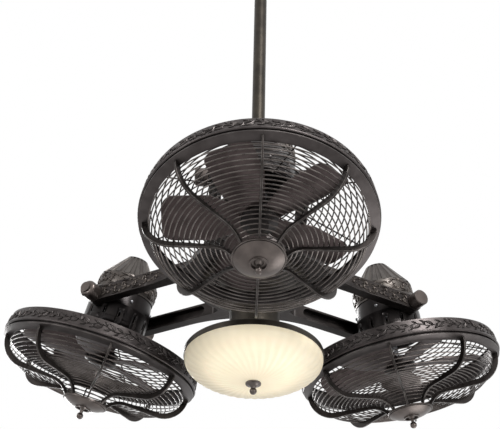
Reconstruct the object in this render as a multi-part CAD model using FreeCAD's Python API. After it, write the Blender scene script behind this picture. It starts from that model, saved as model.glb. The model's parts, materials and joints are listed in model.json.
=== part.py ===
import FreeCAD, Part
import math
import os

os.makedirs("parts", exist_ok=True)
V = FreeCAD.Vector

# Ceiling fan with three caged heads on a central hub, and a light bowl under it.
# Origin: the centre of the downrod's upper end. +Z is up, the front head points to -Y.

# Driving dimensions, in millimetres and degrees

# Downrod, a 3/4 inch pipe
rod_od = 26.7
rod_wall = 2.9
spigot_step = 0.35          # the end inside the socket is turned down by this much
rod_drop = 711.5            # upper end of the rod down to the level of the arms
hanger_hole_d = 8.0         # cross hole for the hanger pin
hanger_hole_drop = 20.0

# Fits
slip = 0.05                 # radial clearance of a pin or shaft that turns
press = 0.02                # radial clearance of pieces that are pressed together
seat = 0.1                  # gap of pieces that are welded or screwed together
side_play = 0.3             # gap between a head and the arms that carry it

# Hub, with the socket for the rod
hub_r = 125.0
fork_fillet = 25.0          # rounded corner between the hub and an arm's inner face
web_r = 250.0               # sweep of the webs between neighbouring forks
web_t = 8.0
hub_crown = 36.0            # rise of the ogee cover above the arms
hub_ogee = 6.0              # how far the ogee's two curves bow
hub_wall = 7.0              # castings are hollow underneath
socket_wall = 9.0
socket_h = 58.0
rod_depth = 46.0            # length of rod inside the socket
coupling_pin_d = 8.0
coupling_pin_over = 3.0     # how far the pin stands out at each side
stem_d = 10.0               # hollow stem that carries the light

# Arms
arm_h = 29.0
arm_t = 19.0
arm_gap = 65.0              # middle of the fork to an arm's inner face
pivot_radius = 308.9        # hub axis to the heads' pivots
eye_r = 17.0                # rounded outer end of an arm
flange_t = 4.0              # lips left around the channel in the inner face
channel_depth = 12.0
channel_root = 150.0        # hub axis to the channel's inner end
pivot_pin_d = 12.0
pivot_pin_grip = 7.5        # length of pin inside the head

# Knob on one side of a fork and domed cap on the other
knob_r = 15.5
knob_len = 24.0
knob_edge = 1.5             # bevel round both ends
cap_knob_r = 17.0
cap_knob_len = 27.0
cap_knob_round = 6.0        # height of its rounded edge
cap_knob_bow = 1.4          # how far that edge bows out
cap_button_r = 10.0
cap_button_h = 4.0

# Heads: direction of each, and how far it faces below the horizontal
heads = {"front": (-90.0, 76.4), "left": (150.0, 71.6), "right": (30.0, 77.5)}

# Motor, measured forwards from the pivot along the head's axis
motor_r = 63.0
motor_wall = 7.0
motor_front = 44.0
motor_front_r = 58.0
motor_shoulder = 16.0       # length of the rounded shoulder at the front
motor_bow = 2.5             # how far that shoulder bows out
front_plate_t = 9.0
seam_z = -32.5              # joint of housing and cover
cover_r = 57.5
cover_wall = 6.0
band_back_z = -65.5         # back of the cover's ornamented band
band_lip = 1.6              # raised lip along the joint
band_lip_w = 2.5
band_swell = 2.0
cone_r = 58.5               # a little wider than the band, so that the flutes scallop its edge
cone_top_r = 21.0
cone_top_z = -116.5
crown_h = 4.0
flute_count = 18
flute_r = 6.5
flute_top_r = 2.6
flute_out = 0.45            # how far a flute's axis stands off the cone, as a share of its radius
vent_count = 12
vent_len = 13.0
vent_w = 4.0
vent_z = 19.5
lobe_flute_r = 11.0         # shallow flutes at the vents, which leave lobes between them
lobe_flute_depth = 2.2
lobe_start = 12.0
boss_r = 15.0
stator_len = 30.0
stator_t = 15.0
air_gap = 0.6
shaft_d = 10.0
shaft_room = 1.0            # gap round the shaft's free end
bearing_r = 13.0
bearing_w = 9.0

# Rim
rim_z = 112.2               # plane of the groove between band and bezel
rim_r = 193.0
rim_flare = 2.8             # the band is this much narrower at its back edge
band_w = 30.4
sheet = 2.5
groove_w = 3.5
groove_d = 4.0
bead_r = 2.5                # half-round bead along the band, behind the groove
bezel_w = 16.5
bezel_edge = 3.5            # middle of the groove to the bezel's outer edge
bezel_rise = 9.0            # middle of the groove to the bezel's inner edge

# Front guard: flat straps on edge, ring wires behind them, and the cap in the middle
strap_count = 8
strap_t = 3.6
strap_w = 10.5              # width at the rim
strap_tip_w = 6.5           # width at the cap
strap_root_w = 5.0          # outer edge of the rim to the strap's outer edge
strap_riser = 2.7           # upright start of a strap
shoulder_r = 50.0           # bend from the riser to the flat part
throat_rise = 20.0          # flat part of a strap to its end behind the cap
throat_turn = 60.0          # how far the strap turns up there
front_ring_count = 8
wire_d = 2.4
cap_r = 43.5
cap_overhang = 1.5          # how far the cap's brim reaches past the straps' ends
brim_t = 3.0
brim_w = 1.5                # flat of the brim outside its groove
brim_groove_w = 1.4
brim_groove_d = 1.6
cap_edge_h = 0.9            # upright edge of the dome above the brim
cap_dome_h = 10.0
cap_dome_bow = 1.5
cap_ring_r = 15.5           # ring round the cup in the middle
cap_ring_h = 2.0
cup_r = 12.5
cup_depth = 4.0
finial_r = 6.5
finial_rise = 17.5          # floor of the cup to the centre of the ball
finial_foot_r = 8.0
finial_foot_h = 5.0
finial_waist_r = 3.2

# Rear guard
rear_ring_count = 5
rear_wire_count = 8
rear_plate_r = 52.0
rear_plate_t = 2.0

# Blades
blade_count = 5
blade_first = 183.0         # where the blades stand at rest
blade_tip_r = 158.0
blade_w = 80.0
blade_root_w = 44.0
blade_shoulder = 48.0       # length over which a blade widens
blade_corner = 20.0
blade_t = 2.2
blade_camber = 7.0
blade_pitch = 16.0
blade_z = 98.0
blade_hub_r = 31.0
blade_hub_len = 22.0
spinner_h = 7.0
spinner_edge = 2.0          # how far the spinner's slope starts behind the hub's front
spinner_r = 16.0            # flat front of the spinner

# Neck, pan, bowl and lamps, measured down from the level of the arms
neck_r = 100.0
neck_drum_h = 16.0
neck_round = 5.0
neck_sweep = 14.0           # radius of the cove between drum and column
column_r = 46.0
neck_wall = 3.0
pan_top = 152.5
pan_r = 126.5
pan_wall = 1.6
pan_wall_h = 12.0
pan_slope = 10.0
pan_round = 4.0             # rounded corner between its slope and its wall
pan_flat_r = 60.0
glass_t = 4.0
glass_tuck = 8.0            # height of the bowl's lip inside the pan
bowl_depth = 49.5
bowl_wall = 8.0             # upright part of the bowl under the pan
bowl_corner = 25.0          # tight curve between the bowl's wall and its wide bottom curve
bowl_finial_r = 14.0
bowl_finial_h = 10.0
bowl_finial_edge = 2.0
bowl_finial_bow = 2.0
bowl_finial_waist_r = 3.9
bowl_ball_r = 6.5
stem_grip = 6.0             # length of stem inside the finial
lamp_count = 2
lamp_r = 14.0
lamp_len = 42.0
lamp_neck_r = 8.4
lamp_neck_len = 16.0
lamp_nose = 8.0             # bevel at the lamp's end
holder_r = 12.0
holder_len = 26.0
holder_start = 14.0
holder_drop = 5.0           # gap between the pan and the lamp holder's bracket

# Places worked out from the sizes above

pivot_z = -rod_drop
arm_out = arm_gap + arm_t
boss_face = arm_gap - side_play
pin_tip = boss_face - pivot_pin_grip
hub_top = arm_h / 2
socket_top = hub_top + hub_crown + socket_h
rod_bottom = socket_top - rod_depth
motor_inner = motor_r - motor_wall
stator_back = -stator_len / 2
spigot_r = rod_od / 2 - spigot_step
rim_back = rim_z - band_w
bezel_in = rim_r - bezel_w
pan_rim = pan_top + pan_slope + pan_wall_h
bowl_bottom = pan_rim + bowl_depth


# Shape helpers

def outline(start, *steps):
    """Closed wire in the XZ plane. A step is a corner (x, z), or an arc ((x, z) on it, (x, z) at its end)."""
    edges = []
    here = V(start[0], 0, start[1])
    for step in steps + (start,):
        if isinstance(step[0], tuple):
            middle = V(step[0][0], 0, step[0][1])
            end = V(step[1][0], 0, step[1][1])
            edges.append(Part.Arc(here, middle, end).toShape())
        else:
            end = V(step[0], 0, step[1])
            if here.distanceToPoint(end) > 1e-6:
                edges.append(Part.makeLine(here, end))
        here = end
    return Part.Wire(edges)


def turned(start, *steps):
    """Solid of revolution about Z from a closed outline of (radius, height)."""
    return Part.Face(outline(start, *steps)).revolve(V(0, 0, 0), V(0, 0, 1), 360)


def rod(radius, start, end):
    """Round bar between two points."""
    along = end - start
    return Part.makeCylinder(radius, along.Length, start, along)


def around(shape, count, first=0.0):
    """Copies of a shape, evenly turned about Z."""
    copies = []
    for i in range(count):
        turn = shape.copy()
        turn.rotate(V(0, 0, 0), V(0, 0, 1), first + i * 360.0 / count)
        copies.append(turn)
    return copies


def arc_middle(start, end, bulge):
    """Point on an arc from start to end that bows out by bulge to the left of the way."""
    dx = end[0] - start[0]
    dz = end[1] - start[1]
    length = math.hypot(dx, dz)
    return (start[0] + dx / 2 - dz / length * bulge, start[1] + dz / 2 + dx / length * bulge)


def dome(radius, z, height):
    """Arc step from (radius, z) to the axis, rising by height."""
    ball = (radius ** 2 + height ** 2) / (2 * height)
    drop = ball - math.copysign(math.sqrt(ball ** 2 - radius ** 2 / 4), ball)
    return ((radius / 2, z + height - drop), (0, z + height))


def ring_wire(radius, z, width):
    """Closed ring of flat-sided wire about Z, centred on (radius, z)."""
    low = (radius - width / 2, z - width / 2)
    high = (radius + width / 2, z + width / 2)
    return turned(low, (high[0], low[1]), high, (low[0], high[1]))


def save(node, shape, place):
    placed = shape.copy()
    placed.Placement = place.multiply(placed.Placement)
    placed.exportStep("parts/" + node + ".step")


# Placements: fork() carries arms and knobs, head() carries what tilts

def fork(name):
    turn = FreeCAD.Rotation(V(0, 0, 1), heads[name][0])
    return FreeCAD.Placement(V(0, 0, pivot_z), turn)


def head(name):
    azimuth, tilt = heads[name]
    turn = FreeCAD.Rotation(V(0, 0, 1), azimuth + 90).multiply(FreeCAD.Rotation(V(1, 0, 0), 90 + tilt))
    pivot = FreeCAD.Rotation(V(0, 0, 1), azimuth).multVec(V(pivot_radius, 0, 0))
    return FreeCAD.Placement(pivot + V(0, 0, pivot_z), turn)


level = FreeCAD.Placement(V(0, 0, pivot_z), FreeCAD.Rotation())


# Downrod, pinned into the hub's socket

def downrod():
    bore = rod_od / 2 - rod_wall
    pipe = turned(
        (bore, rod_bottom), (spigot_r, rod_bottom), (spigot_r, socket_top), (rod_od / 2, socket_top),
        (rod_od / 2, rod_drop), (bore, rod_drop))
    hanger_z = rod_drop - hanger_hole_drop
    pipe = pipe.cut(rod(hanger_hole_d / 2, V(-rod_od, 0, hanger_z), V(rod_od, 0, hanger_z)))
    return pipe.cut(pin_bore())


def pin_bore():
    z = socket_top - rod_depth / 2
    return rod(coupling_pin_d / 2 + press, V(-hub_r, 0, z), V(hub_r, 0, z))


def coupling_pin():
    z = socket_top - rod_depth / 2
    reach = spigot_r + socket_wall + coupling_pin_over
    return rod(coupling_pin_d / 2, V(-reach, 0, z), V(reach, 0, z))


# Hub: a drum between the arms, an ogee cover, the socket above, and fillets and webs at the arms' roots

def fork_corner(side):
    """Concave fillet in the angle between the drum and an arm's inner face."""
    reach = math.sqrt(hub_r ** 2 - arm_gap ** 2) + fork_fillet
    inner = arm_gap - fork_fillet
    block = Part.makeBox(reach - hub_r / 2, fork_fillet, arm_h, V(hub_r / 2, inner, -arm_h / 2))
    block = block.cut(Part.makeCylinder(fork_fillet, arm_h, V(reach, inner, -arm_h / 2)))
    return block if side > 0 else block.mirror(V(0, 0, 0), V(0, 1, 0))


def fork_web():
    """Thin web between two neighbouring forks, along X, with a swept outer edge that meets both arms."""
    middle = (arm_out + web_r) / math.cos(math.radians(30))
    tip = middle - web_r * math.cos(math.radians(30))
    half = web_r * math.sin(math.radians(30))
    low = -arm_h / 2
    points = [V(0, 0, low), V(tip, -half, low), V(tip, half, low)]
    web = Part.Face(Part.makePolygon(points + points[:1])).extrude(V(0, 0, web_t))
    web = web.cut(Part.makeCylinder(web_r, web_t, V(middle, 0, low)))
    for turn in (-60, 60):
        lane = Part.makeBox(2 * tip, 2 * arm_out, web_t, V(0, -arm_out, low))
        lane.rotate(V(0, 0, 0), V(0, 0, 1), turn)
        web = web.cut(lane)
    return web


def hub_body():
    socket_r = spigot_r + socket_wall
    crown = hub_top + hub_crown
    waist = ((hub_r + socket_r) / 2, hub_top + hub_crown / 2)
    body = turned(
        (0, -hub_top), (hub_r, -hub_top), (hub_r, hub_top),
        (arc_middle((hub_r, hub_top), waist, -hub_ogee), waist),
        (arc_middle(waist, (socket_r, crown), hub_ogee), (socket_r, crown)),
        (socket_r, socket_top), (0, socket_top))
    for azimuth, tilt in heads.values():
        for side in (-1, 1):
            corner = fork_corner(side)
            corner.rotate(V(0, 0, 0), V(0, 0, 1), azimuth)
            body = body.fuse(corner)
        web = fork_web()
        web.rotate(V(0, 0, 0), V(0, 0, 1), azimuth + 60)
        body = body.fuse(web)
    hollow_r = neck_r - neck_wall - hub_wall
    hollow = turned(
        (socket_r + hub_wall, -hub_top), (hollow_r, -hub_top), (hollow_r, hub_top - hub_wall),
        (socket_r + hub_wall, crown - 2 * hub_wall))
    body = body.cut(hollow)
    body = body.cut(Part.makeCylinder(spigot_r + press, rod_depth, V(0, 0, rod_bottom)))
    body = body.cut(Part.makeCylinder(stem_d / 2 + press, rod_bottom + hub_top, V(0, 0, -hub_top)))
    return body.cut(pin_bore())


# Arm: a flat bar with a round eye at the pivot and a channel in its inner face

def arm(side):
    bar = Part.makeBox(pivot_radius, arm_t, arm_h, V(0, arm_gap, -arm_h / 2))
    eye = rod(eye_r, V(pivot_radius, arm_gap, 0), V(pivot_radius, arm_out, 0))
    shape = bar.fuse(eye).removeSplitter()
    end_r = arm_h / 2 - flange_t
    channel_end = pivot_radius - eye_r - flange_t - end_r
    channel_start = V(channel_root + end_r, arm_gap, -end_r)
    channel = Part.makeBox(channel_end - channel_start.x, channel_depth, 2 * end_r, channel_start)
    for x in (channel_root + end_r, channel_end):
        channel = channel.fuse(rod(end_r, V(x, arm_gap, 0), V(x, arm_gap + channel_depth, 0)))
    shape = shape.cut(channel)
    shape = shape.cut(rod(pivot_pin_d / 2 + slip, V(pivot_radius, 0, 0), V(pivot_radius, 2 * arm_out, 0)))
    shape = shape.cut(Part.makeCylinder(hub_r, arm_h, V(0, 0, -arm_h / 2)))
    if side < 0:
        shape = shape.mirror(V(0, 0, 0), V(0, 1, 0))
    return shape


# Clamp knob with its stud, and domed cap with its pin. Both are turned about X, then set across the fork.

def across(shape, side):
    """Stand a shape that was turned about Z on the pivot axis, pointing to one side of the fork."""
    set_up = shape.copy()
    set_up.rotate(V(0, 0, 0), V(1, 0, 0), -90 * side)
    set_up.translate(V(pivot_radius, 0, 0))
    return set_up


def clamp_knob():
    start = arm_out + side_play
    end = start + knob_len
    pin = pivot_pin_d / 2
    shape = turned(
        (0, pin_tip), (pin, pin_tip), (pin, start), (knob_r - knob_edge, start), (knob_r, start + knob_edge),
        (knob_r, end - knob_edge), (knob_r - knob_edge, end), (0, end))
    return across(shape, -1)


def pivot_cap():
    start = arm_out
    end = start + cap_knob_len
    round_z = end - cap_knob_round
    pin = pivot_pin_d / 2
    shape = turned(
        (0, pin_tip), (pin, pin_tip), (pin, start), (cap_knob_r, start), (cap_knob_r, round_z),
        (arc_middle((cap_knob_r, round_z), (cap_button_r, end), -cap_knob_bow), (cap_button_r, end)),
        (cap_button_r, end + cap_button_h), (0, end + cap_button_h))
    return across(shape, 1)


# Motor: housing with vents and pivot bosses, fluted cover, and what runs inside

def motor_housing():
    shoulder = (motor_r, motor_front - motor_shoulder)
    front = (motor_front_r, motor_front)
    plate = motor_front - front_plate_t
    body = turned(
        (motor_inner, seam_z), (cover_r, seam_z), (motor_r, 0),
        shoulder, (arc_middle(shoulder, front, -motor_bow), front),
        (bearing_r + press, motor_front), (bearing_r + press, plate), (motor_inner, plate))
    for side in (-1, 1):
        boss = rod(boss_r, V(side * motor_inner, 0, 0), V(side * boss_face, 0, 0))
        inside = Part.makeCylinder(motor_inner, motor_front - seam_z, V(0, 0, seam_z))
        body = body.fuse(boss.cut(inside))
        blind = pin_tip - side_play
        body = body.cut(rod(pivot_pin_d / 2 + slip, V(side * blind, 0, 0), V(side * arm_out, 0, 0)))
    slot = Part.makeBox(motor_r, vent_w, vent_len, V(0, -vent_w / 2, vent_z - vent_len / 2))
    slot = slot.cut(Part.makeCylinder(stator_outer() + press, motor_front, V(0, 0, 0)))
    flute_start = V(motor_r + lobe_flute_r - lobe_flute_depth, 0, lobe_start)
    flute = Part.makeCylinder(lobe_flute_r, motor_front, flute_start)
    flute = flute.fuse(Part.makeSphere(lobe_flute_r, flute_start))
    half_step = 180.0 / vent_count
    return body.cut(around(slot, vent_count, half_step) + around(flute, vent_count, half_step))


def stator_outer():
    return motor_inner - press


def stator():
    outer = Part.makeCylinder(stator_outer(), stator_len, V(0, 0, stator_back))
    return outer.cut(Part.makeCylinder(stator_outer() - stator_t, stator_len, V(0, 0, stator_back)))


def motor_cover():
    inner = cover_r - cover_wall
    bearing_back = band_back_z - bearing_w
    band_front_z = seam_z - band_lip_w
    middle = (band_front_z + band_back_z) / 2
    body = turned(
        (inner, seam_z), (cover_r + band_lip, seam_z),
        (cover_r + band_lip, band_front_z), (cover_r, band_front_z),
        ((cover_r + band_swell, middle), (cover_r, band_back_z)),
        (cone_r, band_back_z), (cone_top_r, cone_top_z),
        dome(cone_top_r, cone_top_z, -crown_h),
        (0, bearing_back - shaft_d / 2), (shaft_d / 2 + shaft_room, bearing_back - shaft_d / 2),
        (shaft_d / 2 + shaft_room, bearing_back), (bearing_r + press, bearing_back),
        (bearing_r + press, band_back_z), (inner, band_back_z))
    base = V(cone_r + flute_r * flute_out, 0, band_back_z)
    top = V(cone_top_r + flute_top_r * flute_out, 0, cone_top_z)
    flute = Part.makeCone(flute_r, flute_top_r, (top - base).Length, base, top - base)
    behind_band = Part.makeCylinder(2 * cone_r, 2 * cone_r, V(0, 0, band_back_z - 2 * cone_r))
    groove = flute.common(behind_band)
    return body.cut(Part.makeCompound(around(groove, flute_count)))


def rotor_core_r():
    return stator_outer() - stator_t - air_gap


def rotor():
    core = Part.makeCylinder(rotor_core_r(), stator_len, V(0, 0, stator_back))
    end = blade_z + blade_hub_len / 2
    start = band_back_z - bearing_w
    return core.fuse(Part.makeCylinder(shaft_d / 2, end - start, V(0, 0, start))).removeSplitter()


def bearings():
    pair = []
    for z in (band_back_z - bearing_w, motor_front - bearing_w):
        ring = Part.makeCylinder(bearing_r, bearing_w, V(0, 0, z))
        pair.append(ring.cut(Part.makeCylinder(shaft_d / 2 + slip, bearing_w, V(0, 0, z))))
    return Part.makeCompound(pair)


# Rim: band, bead, groove and bezel rolled in one ring

def bezel_z(radius):
    """Front face of the bezel at a radius."""
    return rim_z + bezel_edge + (rim_r - radius) / bezel_w * (bezel_rise - bezel_edge)


def rim_band():
    back_r = rim_r - rim_flare
    floor_r = rim_r - groove_d
    behind = rim_z - groove_w / 2
    ahead = rim_z + groove_w / 2
    lip = bezel_z(bezel_in)
    return turned(
        (back_r - sheet, rim_back), (back_r, rim_back), (rim_r, behind - 2 * bead_r),
        ((rim_r + bead_r, behind - bead_r), (rim_r, behind)),
        (floor_r, behind), (floor_r, ahead), (rim_r, ahead), (rim_r, bezel_z(rim_r)),
        (bezel_in, lip), (bezel_in, lip - sheet), (floor_r - sheet, ahead), (floor_r - sheet, behind),
        (rim_r - sheet, behind - 2 * bead_r))


# Front guard: eight straps on edge, bent to a bell, with ring wires welded behind them

def strap_root():
    """Place on the bezel where a strap's outer edge starts, as (radius, height)."""
    radius = rim_r - strap_root_w
    return radius, bezel_z(radius) + seat


def flat_z():
    """Height of the flat part of the straps."""
    return strap_root()[1] + strap_riser + shoulder_r


def brim_back():
    return flat_z() + throat_rise + seat


def strap_edge(width, tip_width):
    """Edge of a strap, set back from the outer edge: riser, shoulder, flat part and throat, as a wire."""
    root_r, root_z = strap_root()
    turn = math.radians(throat_turn)
    throat_r = throat_rise / (1 - math.cos(turn))
    end_r = cap_r - cap_overhang
    throat_x = end_r + throat_r * math.sin(turn)
    throat_z = flat_z() + throat_r

    def on_shoulder(angle):
        bend = shoulder_r - width
        centre = V(root_r - shoulder_r, 0, flat_z() - shoulder_r)
        return centre + V(bend * math.cos(angle), 0, bend * math.sin(angle))

    def on_throat(angle):
        bend = throat_r + tip_width
        return V(throat_x - bend * math.sin(angle), 0, throat_z - bend * math.cos(angle))

    start = V(root_r - width, 0, bezel_z(root_r - width) + seat)
    shoulder = Part.Arc(on_shoulder(0), on_shoulder(math.pi / 4), on_shoulder(math.pi / 2))
    throat = Part.Arc(on_throat(0), on_throat(turn / 2), on_throat(turn))
    return Part.Wire([
        Part.makeLine(start, on_shoulder(0)), shoulder.toShape(),
        Part.makeLine(on_shoulder(math.pi / 2), on_throat(0)), throat.toShape()])


def front_guard():
    outer = strap_edge(0, 0)
    back = strap_edge(strap_w, strap_tip_w)
    root = Part.makeLine(outer.Edges[0].Vertexes[0].Point, back.Edges[0].Vertexes[0].Point)
    tip = Part.makeLine(outer.Edges[-1].Vertexes[-1].Point, back.Edges[-1].Vertexes[-1].Point)
    face = Part.Face(Part.Wire(Part.__sortEdges__(outer.Edges + [tip] + back.Edges + [root])))
    strap = face.extrude(V(0, strap_t, 0))
    strap.translate(V(0, -strap_t / 2, 0))
    places = back.discretize(Number=front_ring_count + 2)[1:-1]
    rings = [ring_wire(at.x, at.z, wire_d) for at in places]
    straps = around(strap, strap_count)
    return straps[0].multiFuse(straps[1:] + rings)


def guard_cap():
    back = brim_back()
    rim = back + brim_t
    top = rim + cap_dome_h
    edge = (cap_r - brim_w - brim_groove_w, rim + cap_edge_h)
    return turned(
        (0, back), (cap_r, back), (cap_r, rim), (cap_r - brim_w, rim), (cap_r - brim_w, rim - brim_groove_d),
        (edge[0], rim - brim_groove_d), edge,
        (arc_middle(edge, (cap_ring_r, top), -cap_dome_bow), (cap_ring_r, top)),
        (cap_ring_r, top + cap_ring_h), (cup_r, top + cap_ring_h), (cup_r, cup_floor()), (0, cup_floor()))


def cup_floor():
    return brim_back() + brim_t + cap_dome_h + cap_ring_h - cup_depth


def cap_finial():
    foot = cup_floor()
    ball = foot + finial_rise
    join = ball - math.sqrt(finial_r ** 2 - finial_waist_r ** 2)
    return turned(
        (0, foot), (finial_foot_r, foot), (finial_waist_r, foot + finial_foot_h), (finial_waist_r, join),
        ((finial_r, ball), (0, ball + finial_r)))


# Rear guard: ring wires and radial wires in a shallow cone, on a plate against the motor

def rear_guard():
    half = wire_d / 2
    start = V(rear_plate_r - wire_d, 0, motor_front + rear_plate_t / 2)
    end = V(rim_r - rim_flare - sheet - seat, 0, rim_back + half)
    corners = [start - V(0, 0, half), end - V(0, 0, half), end + V(0, 0, half), start + V(0, 0, half)]
    spoke = Part.Face(Part.makePolygon(corners + corners[:1])).extrude(V(0, wire_d, 0))
    spoke.translate(V(0, -half, 0))
    spokes = around(spoke, rear_wire_count, 180.0 / strap_count)
    last = end - V(half, 0, 0)
    rings = []
    for i in range(rear_ring_count):
        at = start + (last - start) * ((i + 1) / rear_ring_count)
        rings.append(ring_wire(at.x, at.z, wire_d))
    plate = Part.makeCylinder(rear_plate_r, rear_plate_t, V(0, 0, motor_front))
    plate = plate.cut(Part.makeCylinder(bearing_r + press, rear_plate_t, V(0, 0, motor_front)))
    return plate.multiFuse(spokes + rings)


# Blades: cambered paddles cut to a rounded outline, on a hub with a spinner

def blades():
    far = blade_tip_r
    wide = blade_w / 2
    narrow = blade_root_w / 2
    sheet_r = blade_w ** 2 / (8 * blade_camber)
    edges = [
        (0, narrow), (blade_hub_r, narrow), (blade_hub_r + blade_shoulder, wide), (far, wide)]
    points = [V(x, y, 0) for x, y in edges] + [V(x, -y, 0) for x, y in reversed(edges)]
    prism = Part.Face(Part.makePolygon(points + points[:1])).extrude(V(0, 0, 4 * blade_w))

    def post(edge, x):
        """Whether an edge stands upright at x, at the wide part of the outline."""
        near = 0.01
        low, high = edge.Vertexes[0].Point, edge.Vertexes[-1].Point
        upright = abs(high.x - low.x) + abs(high.y - low.y) < near
        return upright and abs(low.x - x) < near and abs(abs(low.y) - wide) < near

    for x in (far, blade_hub_r + blade_shoulder):
        prism = prism.makeFillet(blade_corner, [edge for edge in prism.Edges if post(edge, x)])
    prism.translate(V(0, 0, -2 * blade_w))
    centre = V(0, 0, -sheet_r)
    tube = rod(sheet_r + blade_t / 2, centre, centre + V(far, 0, 0))
    tube = tube.cut(rod(sheet_r - blade_t / 2, centre, centre + V(far, 0, 0)))
    upper = Part.makeBox(far, 2 * blade_w, sheet_r, V(0, -blade_w, -blade_camber * 2))
    blade = tube.common(upper).common(prism)
    blade.rotate(V(0, 0, 0), V(1, 0, 0), blade_pitch)
    blade.translate(V(0, 0, blade_z + blade_camber / 3))
    blade = blade.cut(Part.makeCylinder(blade_hub_r, 4 * blade_w, V(0, 0, blade_z - 2 * blade_w)))
    return Part.makeCompound(around(blade, blade_count, blade_first))


def blade_hub():
    low = blade_z - blade_hub_len / 2
    high = blade_z + blade_hub_len / 2
    nose = high - spinner_edge + spinner_h
    bore = shaft_d / 2 + press
    return turned(
        (bore, low), (blade_hub_r, low), (blade_hub_r, high - spinner_edge),
        (spinner_r, nose), (0, nose), (0, high), (bore, high))


# Neck: a shallow drum under the hub, with a cove to the column that carries the light

def neck():
    under = -hub_top - neck_drum_h
    bend = 1 - math.sqrt(0.5)
    cove_r = column_r + neck_sweep
    cove_z = under - neck_sweep
    w = neck_wall
    return turned(
        (neck_r - w, -hub_top), (neck_r, -hub_top), (neck_r, under + neck_round),
        ((neck_r - neck_round * bend, under + neck_round * bend), (neck_r - neck_round, under)),
        (cove_r, under),
        ((column_r + neck_sweep * bend, under - neck_sweep * bend), (column_r, cove_z)),
        (column_r, -pan_top),
        (column_r - w, -pan_top), (column_r - w, under + w), (neck_r - w, under + w))


# Light pan, glass bowl, stem, finial, lamp holders and lamps

def light_pan():
    edge = -pan_top - pan_slope
    bore = stem_d / 2 + slip
    bend = pan_round * (1 - math.sqrt(0.5))
    return turned(
        (bore, -pan_top), (pan_flat_r, -pan_top), (pan_r - pan_round, edge),
        ((pan_r - bend, edge - bend), (pan_r, edge - pan_round)),
        (pan_r, -pan_rim), (pan_r - pan_wall, -pan_rim),
        (pan_r - pan_wall, edge - pan_round), (pan_r - pan_round, edge - pan_wall),
        (pan_flat_r, -pan_top - pan_wall), (bore, -pan_top - pan_wall))


def glass_bowl():
    lip_r = pan_r - pan_wall - seat
    lip = -pan_rim + glass_tuck
    hole = stem_d / 2 + slip

    corner = (lip_r - bowl_corner, -pan_rim - bowl_wall)
    rest = bowl_depth - bowl_wall - bowl_corner
    rise = (corner[0] ** 2 - rest ** 2) / (2 * rest)
    bottom_r = bowl_corner + rest + rise
    meet = math.asin(corner[0] / (bottom_r - bowl_corner))

    def on_corner(turn, shell):
        bend = bowl_corner - shell
        return corner[0] + bend * math.sin(turn), corner[1] - bend * math.cos(turn)

    def on_bottom(turn, shell):
        bend = bottom_r - shell
        return bend * math.sin(turn), corner[1] + rise - bend * math.cos(turn)

    halfway = (math.pi / 2 + meet) / 2
    outer_end = math.asin(hole / bottom_r)
    inner_end = math.asin(hole / (bottom_r - glass_t))
    return turned(
        (lip_r - glass_t, lip), (lip_r, lip), (lip_r, corner[1]),
        (on_corner(halfway, 0), on_corner(meet, 0)),
        (on_bottom((meet + outer_end) / 2, 0), on_bottom(outer_end, 0)),
        on_bottom(inner_end, glass_t),
        (on_bottom((meet + inner_end) / 2, glass_t), on_bottom(meet, glass_t)),
        (on_corner(halfway, glass_t), (lip_r - glass_t, corner[1])))


def bowl_stem():
    low = -bowl_bottom - stem_grip
    return Part.makeCylinder(stem_d / 2, rod_bottom - press - low, V(0, 0, low))


def bowl_finial():
    top = -bowl_bottom - seat
    low = top - bowl_finial_h
    ball = low - math.sqrt(bowl_ball_r ** 2 - bowl_finial_waist_r ** 2)
    edge = (bowl_finial_r, top - bowl_finial_edge)
    waist = (bowl_finial_waist_r, low)
    bore = stem_d / 2 + press
    deep = -bowl_bottom - stem_grip - seat
    return turned(
        (bore, top), (bowl_finial_r, top), edge, (arc_middle(edge, waist, -bowl_finial_bow), waist),
        ((bowl_ball_r, ball), (0, ball - bowl_ball_r)), (0, deep), (bore, deep))


def lamp_holders():
    z = -pan_top - pan_wall - holder_drop - holder_r
    cup = rod(holder_r, V(holder_start, 0, z), V(holder_start + holder_len, 0, z))
    foot = Part.makeBox(holder_len / 2, holder_r, holder_drop + holder_r, V(holder_start, -holder_r / 2, z))
    return Part.makeCompound(around(cup.fuse(foot).removeSplitter(), lamp_count))


def lamps():
    z = -pan_top - pan_wall - holder_drop - holder_r
    start = holder_start + holder_len
    end = start + lamp_len
    lamp = turned(
        (0, start), (lamp_neck_r, start), (lamp_r, start + lamp_neck_len), (lamp_r, end - lamp_nose),
        (lamp_r - lamp_nose, end), (0, end))
    lamp.rotate(V(0, 0, 0), V(0, 1, 0), 90)
    lamp.translate(V(0, 0, z))
    return Part.makeCompound(around(lamp, lamp_count))


# Build: pieces on the fixed frame first, then each head

save("downrod", downrod(), level)
save("coupling_pin", coupling_pin(), level)
save("hub_body", hub_body(), level)
save("neck", neck(), level)
save("light_pan", light_pan(), level)
save("glass_bowl", glass_bowl(), level)
save("bowl_stem", bowl_stem(), level)
save("bowl_finial", bowl_finial(), level)
save("lamp_holders", lamp_holders(), level)
save("lamps", lamps(), level)

head_pieces = {
    "motor_housing": motor_housing(), "motor_cover": motor_cover(),
    "stator": stator(), "bearings": bearings(), "rotor": rotor(),
    "rim_band": rim_band(), "front_guard": front_guard(), "rear_guard": rear_guard(),
    "guard_cap": guard_cap(), "cap_finial": cap_finial(),
    "blades": blades(), "blade_hub": blade_hub()}
fork_pieces = {"arm_a": arm(1), "arm_b": arm(-1), "clamp_knob": clamp_knob(), "pivot_cap": pivot_cap()}

for name in heads:
    for piece, shape in fork_pieces.items():
        save(piece + "_" + name, shape, fork(name))
    for piece, shape in head_pieces.items():
        save(piece + "_" + name, shape, head(name))
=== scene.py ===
import json
import math

import bmesh
import bpy
from mathutils import Matrix, Vector


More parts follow.
